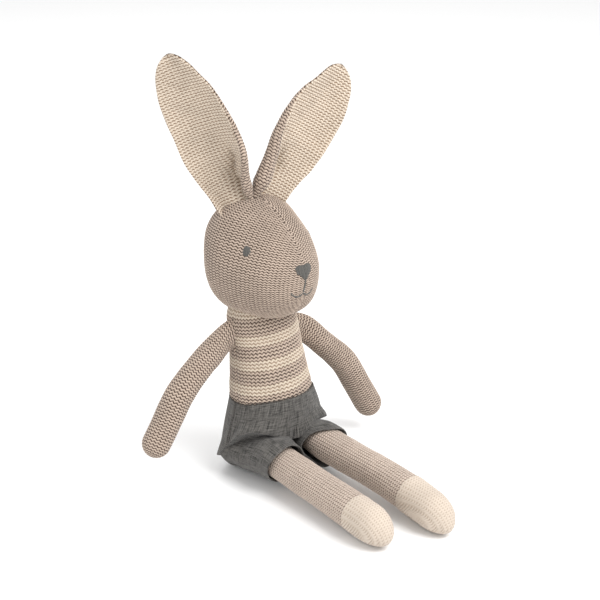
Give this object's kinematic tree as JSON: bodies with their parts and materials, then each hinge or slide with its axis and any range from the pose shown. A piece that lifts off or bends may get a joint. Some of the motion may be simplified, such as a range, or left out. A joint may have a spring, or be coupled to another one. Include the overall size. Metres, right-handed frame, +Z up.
{
  "type": "stuffed bunny",
  "caption": "Sitting stuffed bunny with a knitted head, long upright ears, striped knitted torso, woven shorts, soft arms and legs with pale toes",
  "frame": {"origin": "on the floor, on the flat of the seat between the hips", "axes": "+Z up, -Y the way the bunny faces, +X the bunny's own left"},
  "size_m": [0.2063, 0.2093, 0.3022],
  "materials": {
    "taupe_knit": "matte wool-like purl knit",
    "cream_knit": "matte wool-like purl knit",
    "leg_knit": "fine matte knit with lengthwise rows",
    "toe_knit": "fine matte knit",
    "striped_knit": "matte purl knit in level taupe and cream stripes",
    "grey_weave": "plain slubby weave with pale and dark threads",
    "grey_thread": "matte embroidery thread",
    "stuffing": "loose white fibre"
  },
  "bodies": {
    "torso": {"torso_panel_front": "striped_knit", "torso_panel_back": "striped_knit", "body_stuffing": "stuffing", "shorts_panel_front": "grey_weave", "shorts_panel_back": "grey_weave", "waist_seam": "grey_thread"},
    "neck": {"neck_stuffing": "stuffing"},
    "head": {"head_panel_right": "taupe_knit", "head_panel_left": "taupe_knit", "head_stuffing": "stuffing", "eye_right": "grey_thread", "eye_left": "grey_thread", "nose": "grey_thread", "mouth": "grey_thread"},
    "ear_right": {"ear_right_front": "cream_knit", "ear_right_back": "taupe_knit"},
    "ear_left": {"ear_left_front": "cream_knit", "ear_left_back": "taupe_knit"},
    "arm_right": {"arm_right_cover": "taupe_knit", "arm_right_stuffing": "stuffing"},
    "arm_left": {"arm_left_cover": "taupe_knit", "arm_left_stuffing": "stuffing"},
    "leg_right": {"leg_right_cover": "leg_knit", "leg_right_toe": "toe_knit", "leg_right_stuffing": "stuffing", "shorts_leg_right": "grey_weave", "shorts_hem_right": "grey_weave"},
    "leg_left": {"leg_left_cover": "leg_knit", "leg_left_toe": "toe_knit", "leg_left_stuffing": "stuffing", "shorts_leg_left": "grey_weave", "shorts_hem_left": "grey_weave"}
  },
  "joints": [
    {"name": "neck_turn", "type": "hinge", "parent": "torso", "child": "neck", "pos_m": [0, 0.009, 0.114], "axis": [0, 0, 1], "range_deg": [-45, 45]},
    {"name": "neck_nod", "type": "hinge", "parent": "neck", "child": "head", "pos_m": [0, 0.009, 0.114], "axis": [1, 0, 0], "range_deg": [-15, 15]},
    {"name": "ear_right_fold", "type": "hinge", "parent": "head", "child": "ear_right", "pos_m": [-0.0132, 0.0193, 0.2005], "axis": [0.5736, -0.8192, 0], "range_deg": [-25, 60]},
    {"name": "ear_left_fold", "type": "hinge", "parent": "head", "child": "ear_left", "pos_m": [0.0116, 0.0137, 0.2018], "axis": [0.9659, -0.2588, 0], "range_deg": [-25, 60]},
    {"name": "shoulder_right", "type": "hinge", "parent": "torso", "child": "arm_right", "pos_m": [-0.0358, 0.009, 0.1065], "axis": [-0.0436, 0.999, 0], "range_deg": [-15, 80]},
    {"name": "shoulder_left", "type": "hinge", "parent": "torso", "child": "arm_left", "pos_m": [0.0358, 0.005, 0.0955], "axis": [-0.2164, -0.9763, 0], "range_deg": [-15, 80]},
    {"name": "hip_right", "type": "hinge", "parent": "torso", "child": "leg_right", "pos_m": [-0.0185, -0.019, 0.021], "axis": [0.9976, -0.0698, 0], "range_deg": [-20, 80]},
    {"name": "hip_left", "type": "hinge", "parent": "torso", "child": "leg_left", "pos_m": [0.02, -0.0245, 0.021], "axis": [1, 0, 0], "range_deg": [-20, 80]}
  ]
}
